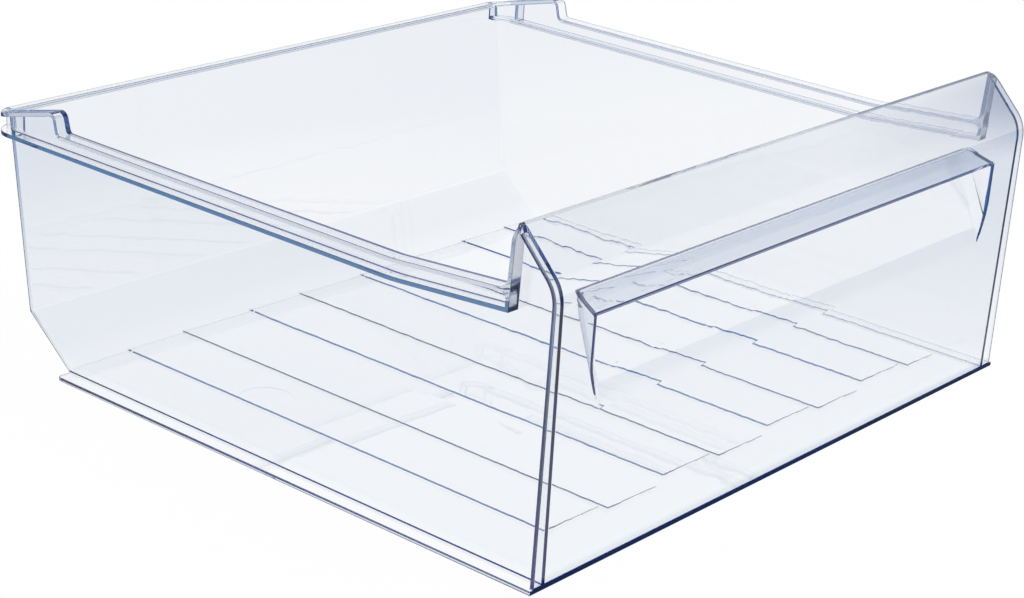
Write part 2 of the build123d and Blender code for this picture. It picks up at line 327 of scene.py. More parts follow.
def extruded(name, ring, near, far):
    # near and far turn each point of the ring into a corner of the two end faces
    count = len(ring)
    corners = [near(*point) for point in ring] + [far(*point) for point in ring]
    faces = [tuple(range(count)), tuple(range(2 * count - 1, count - 1, -1))]
    faces += [(i, (i + 1) % count, count + (i + 1) % count, count + i) for i in range(count)]
    return newPiece(name, corners, faces)


def acrossX(name, outline, half=lambda y, z: sideX + reach):
    return extruded(name, outline, lambda y, z: (-half(y, z), y, z), lambda y, z: (half(y, z), y, z))


def boxBetween(name, low, high):
    outline = [(low[1], low[2]), (high[1], low[2]), (high[1], high[2]), (low[1], high[2])]
    return extruded(name, outline, lambda y, z: (low[0], y, z), lambda y, z: (high[0], y, z))


def combine(piece, others, operation):
    for other in others:
        modifier = piece.modifiers.new("combine", "BOOLEAN")
        modifier.operation = operation
        modifier.object = other
        modifier.solver = "MANIFOLD"
        settled(piece)
        bpy.data.objects.remove(other)
    return piece


def unite(piece, *others):
    return combine(piece, others, "UNION")


def cut(piece, *others):
    return combine(piece, others, "DIFFERENCE")


def common(piece, *others):
    return combine(piece, others, "INTERSECT")


def roundEdges(piece, chosen, radius, segments):
    # chosen takes an edge's middle, in millimetres, and its two face normals
    bm = opened(piece)
    bm.normal_update()
    picked = []
    offset = radius * mm
    for edge in bm.edges:
        middle = (edge.verts[0].co + edge.verts[1].co) / 2 / mm
        normals = [face.normal for face in edge.link_faces]
        if chosen(middle, *normals):
            picked.append(edge)
            offset = radius * mm * math.tan(normals[0].angle(normals[1]) / 2)
    bmesh.ops.bevel(bm, geom=picked, offset=offset, offset_type="OFFSET", segments=segments,
                    profile=0.5, affect="EDGES")
    return closed(bm, piece)


def tubBlock(name, inset, foot):
    # the drawer's body as a filled block, its walls moved in by inset
    head = topZ + reach
    lift = inset * math.hypot(1, rampSlope)
    rampLine = [(rampFootY, wall + lift), (kneeY, tub["kneeHeight"] + lift)]
    rearLine = [(rearWallY(z) - inset, z) for z in (0.0, head)]
    outline = [(frontY - reach, foot),
               atHeight(*rampLine, foot),
               crossing(*rampLine, *rearLine),
               rearLine[1],
               (frontY - reach, head)]
    block = acrossX(name, outline, lambda y, z: sideWallX(z) - inset)

    def rearCorner(middle, a, b):
        return max(abs(a.x), abs(b.x)) > facing and max(a.y, b.y) > facing

    return roundEdges(block, rearCorner, tub["cornerRadius"] - inset, tub["cornerPieces"])


def frontZone(name, inset):
    # everything ahead of the front's outer face moved in by inset
    inner = movedPath(frontPath, -inset)
    head = alongLine(inner[1], inner[2], front["zoneRunOn"])
    far = frontY - 2 * reach
    outline = [(inner[0][0], -reach), inner[0], inner[1], head, (far, head[1]), (far, -reach)]
    return acrossX(name, rounded(outline, [0, 0, front["bendRadius"] + wall - inset, 0, 0, 0]))


def tubShell():
    shell = tubBlock("drawerMoulding", 0.0, 0.0)
    cut(shell, tubBlock("inside", wall, wall))
    corners, radii = rimTopCorners()
    far = frontY - 2 * reach
    corners += [atHeight(*tabLine(1), topZ), (far, topZ), (far, -reach), (rimRearY + reach, -reach)]
    radii += [0.0] * 4
    common(shell, acrossX("belowRim", rounded(corners, radii)))
    return cut(shell, frontZone("aheadOfFront", wall / 2))


def floorPlate():
    end = rimRearY - tub["runnerSetback"]
    headY = atHeight(frontPath[0], frontPath[1], wall)[0]
    outline = [(footY, 0.0), (end, 0.0), (end, wall), (headY, wall)]
    plate = acrossX("floorPlate", outline, lambda y, z: sideX)

    def runnerCorner(middle, a, b):
        atEnd = abs(middle.x) > sideX - 1 and middle.y > end - 1
        return atEnd and max(abs(a.z), abs(b.z)) < facing

    return roundEdges(plate, runnerCorner, tub["runnerCorner"], tub["runnerPieces"])


def roundHeaded(name, half, foot, rear):
    # as wide as the front or the rails, with the round top corners of the front and the tabs
    radius = front["cornerRadius"] + half - frontX
    ring = [(-half, foot), (half, foot), (half, topZ), (-half, topZ)]
    ring = rounded(ring, [0, 0, radius, radius], front["cornerPerTurn"])
    return extruded(name, ring, lambda x, z: (x, frontY - reach, z), lambda x, z: (x, rear, z))


def frontPanel():
    path = frontPath[:2] + [alongLine(frontPath[1], frontPath[2], front["runOn"])]
    own, other = bandRadii(path, [front["bendRadius"]], -wall)
    outline = rounded(path + movedPath(path, -wall)[::-1], own + other[::-1], front["bendPerTurn"])
    outline[-1] = atHeight(outline[-1], outline[-2], 0.0)
    return common(acrossX("frontPanel", outline), roundHeaded("panelCorners", frontX, -reach, 0.0))


def heightToY(branch, z):
    # where the outline is at height z
    for (ya, za), (yb, zb) in zip(branch, branch[1:]):
        if min(za, zb) <= z <= max(za, zb) and za != zb:
            return ya + (yb - ya) * (z - za) / (zb - za)
    return None


def pocketLine(grow):
    # the pocket's outline from the side, moved out by grow: up along its back, then ahead under its ceiling
    top, depth = pocket["top"], pocket["depth"]
    low = top - pocket["opening"]
    ahead = frontY - pocket["ahead"]
    path = [atHeight(frontPath[0], frontPath[1], z) for z in (low - pocket["runDown"], low)]
    path += [(frontY + depth - pocket["backLean"], top + pocket["rise"] - pocket["backUpright"]),
             (frontY + depth, top + pocket["rise"]),
             (frontY, top)]
    moved = movedPath(path, -grow)
    ceilingEnd = crossing(moved[3], moved[4], (ahead, 0.0), (ahead, 1.0))
    radii = [pocket["lowerBlend"] + wall - grow, pocket["backBend"], wall / 2 + grow]
    line = rounded(moved[:4] + [ceilingEnd], [0.0] + radii + [0.0], pocket["bendPerTurn"])[1:]
    peak = max(range(len(line)), key=lambda i: line[i][1])
    return line[:peak + 1], line[peak:]


def pocketBlock(name, grow):
    # the finger pocket's space as a stack of level outlines: its lower edge runs smoothly into the front,
    # and its ends are rounded in plan
    back, ceiling = pocketLine(grow)
    headZ = back[-1][1] - pocket["peakGap"]
    levels = []
    for z in sorted(z for y, z in back + ceiling if z < headZ):
        if not levels or z - levels[-1] > pocket["levelGap"]:
            levels.append(z)
    levels.append(headZ)

    def half(y):
        return frontX - pocket["sideGap"] + grow - pocket["endTaper"] / pocket["depth"] * (y - frontY)

    rings = []
    for z in levels:
        yBack = heightToY(back, z)
        yBack = back[0][0] if yBack is None else yBack
        yAhead = heightToY(ceiling, z)
        yAhead = frontY - pocket["ahead"] if yAhead is None else yAhead
        radius = min(pocket["cornerRadius"] + grow, pocket["mostCorner"] * (yBack - yAhead))
        corners = [(-half(yAhead), yAhead), (-half(yBack), yBack),
                   (half(yBack), yBack), (half(yAhead), yAhead)]
        ring = rounded(corners, [0.0, radius, radius, 0.0], pieces=pocket["cornerPieces"])
        rings.append([(x, y, z) for x, y in ring])
    count = len(rings[0])
    last = count * (len(rings) - 1)
    faces = [tuple(range(count)), tuple(range(last + count - 1, last - 1, -1))]
    for base in range(0, last, count):
        for i in range(count):
            j = (i + 1) % count
            faces.append((base + i, base + j, base + count + j, base + count + i))
    return newPiece(name, [corner for ring in rings for corner in ring], faces)


def plannedRim():
    ring = [(-sideX, frontY - reach), (sideX, frontY - reach), (sideX, rimRearY), (-sideX, rimRearY)]
    ring = rounded(ring, [0, 0, tub["rimCorner"], tub["rimCorner"]], tub["rimPerTurn"])
    return extruded("rimInPlan", ring, lambda x, y: (x, y, 0.0), lambda x, y: (x, y, topZ + reach))


def sideRails():
    # rim rail, tab and guide rail in one outline, with the channel between the rails
    top, topRadii = rimTopCorners()
    under = movedPath(rimPath, wall)
    underRadii = bandRadii(rimPath, rimRadii, wall)[1]
    guideUnder = movedPath(guidePath, wall)
    guideOwn, guideOther = bandRadii(guidePath, [rails["riseRadius"]], wall)
    rear, ahead = tabLine(1), tabLine(-1)
    outline = top + [rear[1], ahead[1], crossing(*ahead, guideUnder[1], guideUnder[2])]
    radii = topRadii + [0.0, 0.0, 0.0]
    outline += [guideUnder[1], guideUnder[0], guidePath[0], guidePath[1]]
    radii += [guideOther[1], 0.0, 0.0, guideOwn[1]]
    outline += [crossing(guidePath[1], guidePath[2], *rear), crossing(under[-2], under[-1], *rear)]
    radii += [0.0, rails["tabFilletUnder"]]
    outline += under[-2::-1]
    radii += underRadii[-2::-1]
    both = acrossX("sideRails", rounded(outline, radii))
    common(both, plannedRim(), roundHeaded("tabEnvelope", sideX, 0.0, rimRearY + reach))
    between = wallXRim - rails["rearRibInset"] - wall / 2
    return cut(both, tubBlock("insideRails", wall / 2, -reach), frontZone("aheadOfRails", wall / 2),
               boxBetween("guideGapAtRear", (-between, 0.0, 0.0), (between, rimRearY + reach, channelZ)))


def channelRibs():
    # four small ribs that close the channel at the rear corners
    low = guideZ - wall / 2
    high = rimZ + rails["stopHeight"]
    middle = rearY - rails["sideRibSetback"]
    ribs = boxBetween("channelRibs", (-sideX - reach, middle - wall / 2, low),
                      (sideX + reach, middle + wall / 2, high))
    for sign in (-1, 1):
        x = sign * (wallXRim - rails["rearRibInset"])
        unite(ribs, boxBetween("rearRib", (x - wall / 2, rearY - 3 * wall, low),
                               (x + wall / 2, rimRearY + reach, high)))
    lowered = movedPath(rimPath, wall / 2)
    outline = lowered[:4] + [(0.0, lowered[3][1]), (0.0, -reach), (rimRearY + reach, -reach)]
    common(ribs, acrossX("belowRimMiddle", outline), plannedRim())
    return cut(ribs, tubBlock("insideRibs", wall / 2, -reach))


def roundMark():
    turns = [math.tau * i / mark["sides"] for i in range(mark["sides"])]
    x0, y0 = mark["place"]
    ring = [(x0 + mark["radius"] * math.cos(turn), y0 + mark["radius"] * math.sin(turn)) for turn in turns]
    return extruded("roundMark", ring, lambda x, y: (x, y, -1.0), lambda x, y: (x, y, mark["depth"]))


def cleaned(piece, joinFlat=True):
    # near-double points left by the joins go, and so do their flat seams
    bm = opened(piece)
    bmesh.ops.remove_doubles(bm, verts=bm.verts, dist=joins["samePoint"] * mm)
    if joinFlat:
        flat = math.radians(joins["flatSeam"])
        bmesh.ops.dissolve_limit(bm, angle_limit=flat, verts=bm.verts, edges=bm.edges)
    loose = [vert for vert in bm.verts if not vert.link_faces]
    bmesh.ops.delete(bm, geom=loose, context="VERTS")
    unclosed = [edge for edge in bm.edges if len(edge.link_faces) != 2]
    short = [edge for edge in bm.edges if edge.calc_length() < joins["shortEdge"] * mm]
    print("mesh of", len(bm.faces), "faces with", len(unclosed), "open and", len(short), "short edges")
    return closed(bm, piece, turnOut=True)


# node helpers, for geometry and materials alike

def feed(tree, socket, value):
    # value is a number, a tuple or another node's socket
    if isinstance(value, bpy.types.NodeSocket):
        tree.links.new(value, socket)
    else:
        socket.default_value = value


def nodeOf(tree, kind, **values):
    # underscores in the names stand for spaces
    node = tree.nodes.new(kind)
    for name, value in values.items():
        feed(tree, node.inputs[name.replace("_", " ")], value)
    return node


def mathNode(tree, operation, a, b):
    node = tree.nodes.new("ShaderNodeMath")
    node.operation = operation
    feed(tree, node.inputs[0], a)
    feed(tree, node.inputs[1], b)
    return node.outputs[0]


def times(tree, a, b):
    return mathNode(tree, "MULTIPLY", a, b)


def minus(tree, a, b):
    return mathNode(tree, "SUBTRACT", a, b)


def vectorOf(tree, x=0.0, y=0.0, z=0.0):
    return nodeOf(tree, "ShaderNodeCombineXYZ", X=x, Y=y, Z=z).outputs[0]


def axesOf(tree, vector):
    return nodeOf(tree, "ShaderNodeSeparateXYZ", Vector=vector).outputs


# floor strips

def placedAt(tree, geometry, position):
    return nodeOf(tree, "GeometryNodeSetPosition", Geometry=geometry, Position=position).outputs[0]


def drawnOut(tree, mesh, offset, **chosen):
    return nodeOf(tree, "GeometryNodeExtrudeMesh", Mesh=mesh, Offset=offset, Offset_Scale=1.0,
                  Individual=False, **chosen).outputs


def joined(tree, *parts):
    node = tree.nodes.new("GeometryNodeJoinGeometry")
    for part in parts:
        tree.links.new(part, node.inputs[0])
    return node.outputs[0]


def realized(tree, instances):
    return nodeOf(tree, "GeometryNodeRealizeInstances", Geometry=instances).outputs[0]


def stripMesh(tree, given, frontPlace, slant):
    # a wedge-shaped end face, drawn out along the floor and then up the ramp
    circle = nodeOf(tree, "GeometryNodeMeshCircle", Vertices=4)
    circle.fill_type = "NGON"
    pick = tree.nodes.new("GeometryNodeIndexSwitch")
    pick.data_type = "VECTOR"
    while len(pick.index_switch_items) < 4:
        pick.index_switch_items.new()
    sunk = times(tree, given["Sink"], -1.0)
    corners = [vectorOf(tree, times(tree, slant, -1.0), frontPlace, sunk),
               vectorOf(tree, given["Width"], frontPlace, sunk),
               vectorOf(tree, given["Width"], frontPlace, 0.0),
               vectorOf(tree, 0.0, frontPlace, given["Step"])]
    feed(tree, pick.inputs["Index"], tree.nodes.new("GeometryNodeInputIndex").outputs[0])
    for slot, corner in zip([slot for slot in pick.inputs if slot.type == "VECTOR"], corners):
        feed(tree, slot, corner)
    face = placedAt(tree, circle.outputs[0], pick.outputs[0])
    level = drawnOut(tree, face, vectorOf(tree, 0.0, minus(tree, given["Bend"], frontPlace)))
    rise = times(tree, given["Climb"], given["Slope"])
    climb = drawnOut(tree, level["Mesh"], vectorOf(tree, 0.0, given["Climb"], rise), Selection=level["Top"])
    # the far end runs out level with the ramp
    x, y, z = axesOf(tree, tree.nodes.new("GeometryNodeInputPosition").outputs[0])
    runOut = nodeOf(tree, "GeometryNodeSetPosition", Geometry=climb["Mesh"], Selection=climb["Top"],
                    Position=vectorOf(tree, x, y, mathNode(tree, "MINIMUM", z, rise)))
    shell = joined(tree, face, runOut.outputs[0])
    apart = strips["samePoint"] * mm
    return nodeOf(tree, "GeometryNodeMergeByDistance", Geometry=shell, Distance=apart).outputs[0]


def dotRow(tree, given):
    # small dots ahead of a strip's front edge, where it runs out
    room = minus(tree, given["Width"], given["Dots From"])
    count = mathNode(tree, "FLOOR", mathNode(tree, "DIVIDE", room, given["Dot Pitch"]), 0.0)
    begin = vectorOf(tree, given["Dots From"])
    row = nodeOf(tree, "GeometryNodeMeshLine", Count=count, Start_Location=begin,
                 Offset=vectorOf(tree, given["Dot Pitch"])).outputs[0]
    x = axesOf(tree, tree.nodes.new("GeometryNodeInputPosition").outputs[0])["X"]
    remaining = minus(tree, 1.0, mathNode(tree, "DIVIDE", x, given["Width"]))
    seat = vectorOf(tree, x, minus(tree, given["Front"], given["Dot Lead"]),
                    minus(tree, times(tree, given["Step"], remaining), given["Dot Sink"]))
    size = vectorOf(tree, given["Dot Size"], given["Dot Size"], given["Dot Height"])
    cube = nodeOf(tree, "GeometryNodeMeshCube", Size=size).outputs["Mesh"]
    dots = nodeOf(tree, "GeometryNodeInstanceOnPoints", Points=placedAt(tree, row, seat), Instance=cube)
    return realized(tree, dots.outputs[0])


def stripTree(lengths):
    tree = bpy.data.node_groups.new("floorStrips", "GeometryNodeTree")
    tree.is_modifier = True
    tree.interface.new_socket(name="Geometry", in_out="OUTPUT", socket_type="NodeSocketGeometry")
    kinds = {"Count": "NodeSocketInt", "Slope": "NodeSocketFloat", "Material": "NodeSocketMaterial"}
    kinds.update({name: "NodeSocketFloat" for name in lengths})
    keys = {}
    for name, kind in kinds.items():
        keys[name] = tree.interface.new_socket(name=name, in_out="INPUT", socket_type=kind).identifier
    source = tree.nodes.new("NodeGroupInput")
    given = {name: source.outputs[name] for name in keys}
    # one point for each strip; they stand in pairs, and the second of a pair starts further forward
    line = nodeOf(tree, "GeometryNodeMeshLine", Count=given["Count"]).outputs[0]
    index = tree.nodes.new("GeometryNodeInputIndex").outputs[0]
    second = mathNode(tree, "MODULO", index, 2.0)
    pair = mathNode(tree, "FLOOR", mathNode(tree, "DIVIDE", index, 2.0), 0.0)
    left = mathNode(tree, "ADD", given["First"], times(tree, pair, given["Pair Pitch"]))
    left = mathNode(tree, "ADD", left, times(tree, second, given["Second"]))
    room = mathNode(tree, "DIVIDE", minus(tree, given["Limit"], left), given["Width"])
    narrowed = vectorOf(tree, mathNode(tree, "MINIMUM", room, 1.0), 1.0, 1.0)
    forward = minus(tree, given["Front"], given["Stagger"])
    wrapped = []
    for place, slant in ((forward, 0.0), (given["Front"], given["Slant"])):
        mesh = stripMesh(tree, given, place, slant)
        wrapped.append(nodeOf(tree, "GeometryNodeGeometryToInstance", Geometry=mesh).outputs[0])
    wedges = nodeOf(tree, "GeometryNodeInstanceOnPoints", Points=placedAt(tree, line, vectorOf(tree, left)),
                    Instance=joined(tree, *wrapped), Pick_Instance=True, Instance_Index=second,
                    Scale=narrowed)
    start = vectorOf(tree, left, times(tree, times(tree, second, given["Stagger"]), -1.0))
    rows = nodeOf(tree, "GeometryNodeInstanceOnPoints", Points=placedAt(tree, line, start),
                  Instance=dotRow(tree, given), Scale=narrowed)
    both = realized(tree, joined(tree, rows.outputs[0], wedges.outputs[0]))
    painted = nodeOf(tree, "GeometryNodeSetMaterial", Geometry=both, Material=given["Material"])
    nodeOf(tree, "NodeGroupOutput", Geometry=painted.outputs[0])
    return tree, keys


def floorStrips(material):
    lift = wall * math.hypot(1, rampSlope)
    lengths = {
        "Pair Pitch": strips["pairPitch"],
        "First": -wallXFloor + strips["first"] + wall,
        "Second": strips["second"],
        "Width": strips["width"] - strips["apart"],
        "Step": strips["step"],
        "Front": frontY + strips["frontSetback"],
        "Stagger": strips["stagger"],
        "Bend": rampFootY - lift / rampSlope,
        "Climb": strips["climb"] / math.hypot(1, rampSlope),
        "Sink": strips["sink"],
        "Limit": wallXFloor - tub["cornerRadius"],
        "Slant": strips["slant"],
        "Dot Pitch": strips["dotPitch"],
        "Dot Size": strips["dotSize"],
        "Dot Height": strips["dotHeight"],
        "Dot Sink": strips["dotSink"],
        "Dot Lead": strips["dotLead"],
        "Dots From": strips["dotsFrom"],
    }
    tree, keys = stripTree(lengths)
    made = bpy.data.objects.new("floorStrips", bpy.data.meshes.new("floorStrips"))
    bpy.context.scene.collection.objects.link(made)
    modifier = made.modifiers.new("floorStrips", "NODES")
    modifier.node_group = tree
    modifier[keys["Count"]] = strips["count"]
    modifier[keys["Slope"]] = rampSlope
    modifier[keys["Material"]] = material
    for name, length in lengths.items():
        modifier[keys[name]] = length * mm
    settled(made)
    made.data.transform(Matrix.Translation((0.0, 0.0, wall * mm)))
    return closed(opened(made), made, turnOut=True)


print("making the tub")
moulding = tubShell()
unite(moulding, floorPlate())
print("making the front and its pocket")
unite(moulding, frontPanel())
unite(moulding, cut(pocketBlock("pocketWalls", wall), frontZone("aheadOfPocket", wall / 2)))
cut(moulding, pocketBlock("pocketHollow", 0.0))
print("making the rails, tabs and ribs")
unite(moulding, sideRails(), channelRibs())
cleaned(moulding)


# clear plastic

look = {
    "ior": 1.585,
    "roughness": (0.008, 0.03),  # gloss varies with haze and handling marks
    "matte": 0.45,               # roughness of the front's cut edges
    "clear": (1.0, 1.0, 1.0),
    "cloudy": (0.985, 0.992, 1.0),
    "clouds": (0.45, 0.75),      # the part of the noise that shows as clouds
    # painted shade: the walls are greyer than the floor, standing in for the reflections that darken them
    "wallShade": (0.952, 0.955, 0.965),
    "wallShadeFrom": (4.0, 12.0),     # heights over which the floor's clear goes over into the walls' painted shade
    "nearFront": (36.0, 22.0),   # depths over which the front begins
    # painted shade: a darker, bluer patch on the upper right of the front, standing in for a reflection of
    # the darker room
    "frontRightShade": (0.60, 0.64, 0.73),
    "frontRightShadeFrom": 35.0,           # from here to the right end of the front
    "frontRightShadeHeights": (135.0, 165.0),
    "tint": (0.12, 0.46, 0.80),
    "density": 13.0,
    "waveScale": 45.0,           # slow waves that the mould leaves in the faces
    "waveDetail": 1.5,
    "waveHeight": 0.05,
    "frontWaves": 2.2,           # the front has stronger ones, the floor weaker
    "floorWaves": 0.3,
    "hazeScale": 9.0,
    "hazeDetail": 3.0,
    "patchScale": 18.0,          # the plastic is scratched in patches
    "patchDetail": 4.0,
    "patches": (0.50, 0.62),
    "scratches": (0.60, 0.68),
    "scratchDetail": 6.0,
    "scratchScale": (30.0, 340.0, 60.0),
    "scratchTurn": (0.2, 0.4, 0.7),
}
edgeBlueShade = {                      # the blue of the plastic seen edge-on, deepened with painted shade, and how much of it which faces get
    "color": (0.012, 0.05, 0.16),
    "rail": 1.0,
    "foot": 1.0,
    "rim": 0.4,
    "side": 0.12,
    "runner": 0.4,
    "stripSide": 0.2,
    "stripEnd": 0.9,
    "sideDepth": 30.0,           # the front's side faces and the tabs lie within this depth
    "footDepth": 0.2,
    "stripsFront": 20.0,         # the strips lie inside these distances from the front, ramp and walls
    "stripsRear": 5.0,
    "stripsSide": 4.0,
    "endFacing": 0.7,            # a strip's end has at least this much of the y axis in its normal
}


def noiseAt(tree, vector, scale, detail):
    return nodeOf(tree, "ShaderNodeTexNoise", Vector=vector, Scale=scale, Detail=detail).outputs["Fac"]


def ranged(tree, value, source, target=(0.0, 1.0), unit=1.0):
    low, high = source
    node = nodeOf(tree, "ShaderNodeMapRange", Value=value, From_Min=low * unit, From_Max=high * unit,
                  To_Min=target[0], To_Max=target[1])
    return node.outputs["Result"]


def blend(tree, amount, first, second):
    # first and second are plain colours or sockets
    node = tree.nodes.new("ShaderNodeMix")
    node.data_type = "RGBA"
    feed(tree, node.inputs["Factor"], amount)
    for name, color in (("A", first), ("B", second)):
        feed(tree, node.inputs[name], (*color, 1.0) if isinstance(color, tuple) else color)
    return node.outputs["Result"]


def faceValue(tree, name):
    node = tree.nodes.new("ShaderNodeAttribute")
    node.attribute_name = name
    return node.outputs["Fac"]


def clearPlastic():
    material = bpy.data.materials.new("clearMouldedPlastic")
    material.use_nodes = True
    tree = material.node_tree
    shader = tree.nodes["Principled BSDF"]
    shader.inputs["Transmission Weight"].default_value = 1.0
    shader.inputs["IOR"].default_value = look["ior"]
    place = tree.nodes.new("ShaderNodeTexCoord").outputs["Object"]
    x, y, z = axesOf(tree, place)

    # faint clouds in the plastic, the painted shade of the walls and of the front's upper right, and its
    # blue where a face shows it edge-on, deepened with painted shade
    clouds = ranged(tree, noiseAt(tree, place, look["hazeScale"], look["hazeDetail"]), look["clouds"])
    body = blend(tree, clouds, look["clear"], look["cloudy"])
    aboveFloor = ranged(tree, z, look["wallShadeFrom"], unit=mm)
    # painted shade: the walls greyer than the floor
    body = blend(tree, aboveFloor, body, look["wallShade"])
    begins, full = look["nearFront"]
    nearFront = ranged(tree, y, (frontY + begins, frontY + full), unit=mm)
    sideways = ranged(tree, x, (look["frontRightShadeFrom"], sideX), unit=mm)
    upper = ranged(tree, z, look["frontRightShadeHeights"], unit=mm)
    # painted shade on the upper right end of the front
    body = blend(tree, times(tree, times(tree, sideways, upper), nearFront), body, look["frontRightShade"])
    # the edges' blue: partly the plastic's own, partly painted shade
    body = blend(tree, faceValue(tree, "edgeShadeShare"), body, edgeBlueShade["color"])
    feed(tree, shader.inputs["Base Color"], body)

    # haze and fine scratches in the gloss
    stretched = nodeOf(tree, "ShaderNodeMapping", Vector=place, Scale=look["scratchScale"],
                       Rotation=look["scratchTurn"]).outputs[0]
    scratches = ranged(tree, noiseAt(tree, stretched, 1.0, look["scratchDetail"]), look["scratches"])
    patches = ranged(tree, noiseAt(tree, place, look["patchScale"], look["patchDetail"]), look["patches"])
    gloss = ranged(tree, times(tree, scratches, patches), (0.0, 1.0), look["roughness"])
    rough = nodeOf(tree, "ShaderNodeMix", Factor=faceValue(tree, "matteShare"), A=gloss, B=look["matte"])
    feed(tree, shader.inputs["Roughness"], rough.outputs["Result"])

    # slow waves, stronger on the front
    strength = times(tree, ranged(tree, nearFront, (0.0, 1.0), (1.0, look["frontWaves"])),
                     ranged(tree, aboveFloor, (0.0, 1.0), (look["floorWaves"], 1.0)))
    height = times(tree, noiseAt(tree, place, look["waveScale"], look["waveDetail"]), strength)
    bump = nodeOf(tree, "ShaderNodeBump", Strength=1.0, Distance=look["waveHeight"] * mm, Height=height)
    feed(tree, shader.inputs["Normal"], bump.outputs["Normal"])

    absorption = tree.nodes.new("ShaderNodeVolumeAbsorption")
    absorption.inputs["Color"].default_value = (*look["tint"], 1.0)
    absorption.inputs["Density"].default_value = look["density"]
    feed(tree, tree.nodes["Material Output"].inputs["Volume"], absorption.outputs["Volume"])
    return material


def onFrontSide(x, y):
    return abs(x) > frontX - easing["free"] and y < frontY + edgeBlueShade["sideDepth"]


def onStrips(x, y, z):
    between = frontY + edgeBlueShade["stripsFront"] < y < rampFootY - edgeBlueShade["stripsRear"]
    return wall < z < wall + strips["step"] and between and abs(x) < wallXFloor - edgeBlueShade["stripsSide"]


def edgeShadeShare(centre, normal):
    # how strongly a face shows the blue of the plastic seen edge-on, with its painted shade
    x, y, z = centre
    within = easing["free"]
    if abs(x) > sideX - within:
        if z < footTopZ:
            return edgeBlueShade["runner"]
        climbed = min(max(riseStartY - y, 0.0) / rails["riseLength"], 1.0) * rails["frontRise"]
        return edgeBlueShade["rail"] if z < channelZ + climbed and x < 0 else edgeBlueShade["rim"]
    if onFrontSide(x, y):
        return edgeBlueShade["side"]
    if y > rimRearY - within or z > topZ - within:
        return edgeBlueShade["rim"]
    if z < footTopZ and y < footY + edgeBlueShade["footDepth"]:
        return edgeBlueShade["foot"]
    if onStrips(x, y, z) and abs(normal.z) < facing:
        return edgeBlueShade["stripEnd"] if abs(normal.y) > edgeBlueShade["endFacing"] else edgeBlueShade["stripSide"]
    return 0.0


def splitFaces(bm, place, normal, outside=0.0):
    # a plane divides the faces that lie further out than this, so that their parts can be coloured apart
    faces = [face for face in bm.faces if abs(face.calc_center_median().x) >= outside * mm]
    chosen = set(faces)
    lines = [edge for edge in bm.edges if chosen.intersection(edge.link_faces)]
    points = [vert for vert in bm.verts if chosen.intersection(vert.link_faces)]
    bmesh.ops.bisect_plane(bm, geom=points + lines + faces, plane_co=Vector(place) * mm, plane_no=normal,
                           dist=joins["onPlane"] * mm)


def finishMesh(piece):
    # only bends shade smoothly: creases stay sharp, and so do the nearly level seams of the floor strips
    bm = opened(piece)
    railFace = sideX - easing["free"]
    splitFaces(bm, (0, 0, footTopZ), (0, 0, 1))
    splitFaces(bm, (0, 0, channelZ), (0, 0, 1), railFace)
    splitFaces(bm, (0, riseStartY, channelZ), (0, rails["frontRise"], rails["riseLength"]), railFace)
    blue = bm.faces.layers.float.new("edgeShadeShare")
    matte = bm.faces.layers.float.new("matteShare")
    for face in bm.faces:
        face.smooth = True
        centre = face.calc_center_median() / mm
        face[blue] = edgeShadeShare(centre, face.normal)
        # the front's cut edges scatter light, which keeps them pale
        face[matte] = float(onFrontSide(centre.x, centre.y) and centre.z > wall)
    for edge in bm.edges:
        edge.smooth = joins["smoothFrom"] < math.degrees(edge.calc_face_angle(0.0)) < joins["smoothTo"]
    closed(bm, piece)
    modifier = piece.modifiers.new("flatFaces", "WEIGHTED_NORMAL")
    modifier.mode = "FACE_AREA"
    modifier.weight = 100
    modifier.keep_sharp = True
    return settled(piece)


pocketBack = pocketLine(0.0)[0]


def edgeReach(edge, angle):
    # how far the rounding of a crease reaches to each side
    middle = (edge.verts[0].co + edge.verts[1].co) / 2 / mm
    level = abs(edge.verts[0].co.z - edge.verts[1].co.z) < joins["level"] * mm
    perRadius = math.tan(angle / 2)
    if abs(middle.z - tub["kneeHeight"]) < easing["kneeHeight"] and middle.y > kneeY - easing["kneeLength"]:
        return easing["knee"] * perRadius
    fromMark = math.dist(middle.xy, mark["place"]) - mark["radius"]
    if middle.z < mark["sharpBelow"] and fromMark < mark["sharpAround"]:
        return 0.0
    radius = easing["free"] if edge.is_convex else easing["inside"]
    lowest, highest = easing["mouthHeights"]
    onFront = middle.y <= frontY + easing["mouthDepth"] and abs(middle.x) <= frontX - easing["mouthSideGap"]
    if not onFront or not lowest < middle.z < highest:
        return radius * min(perRadius, easing["mostReach"])
    bend = easing["lip"] if edge.is_convex else easing["lip"] - wall
    if level:
        return bend * perRadius
    depth = (heightToY(pocketBack, middle.z) or frontY + pocket["depth"]) - frontY
    return min(bend * perRadius, easing["mostDepth"] * depth)


def eased(piece):
    # every crease gets its rounding, by a weight that is its reach as a share of the widest
    bm = opened(piece)
    weights = bm.edges.layers.float.new("bevel_weight_edge")
    for edge in bm.edges:
        angle = edge.calc_face_angle(0.0)
        if angle > math.radians(easing["creaseAngle"]):
            edge[weights] = edgeReach(edge, angle) / easing["widest"]
    closed(bm, piece)
    modifier = piece.modifiers.new("easedEdges", "BEVEL")
    modifier.limit_method = "WEIGHT"
    modifier.width = easing["widest"] * mm
    modifier.segments = easing["segments"]
    modifier.use_clamp_overlap = False
    modifier.miter_outer = "MITER_SHARP"
    return settled(piece)


plastic = clearPlastic()
print("easing the edges")
cut(moulding, roundMark())
eased(moulding)
print("making the floor strips")
unite(moulding, floorStrips(plastic))
cleaned(moulding, joinFlat=False)
finishMesh(moulding)
moulding.data.materials.clear()
moulding.data.materials.append(plastic)
moulding.name = "drawer_moulding"
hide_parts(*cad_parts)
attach(moulding, "root")


# floor, light and camera

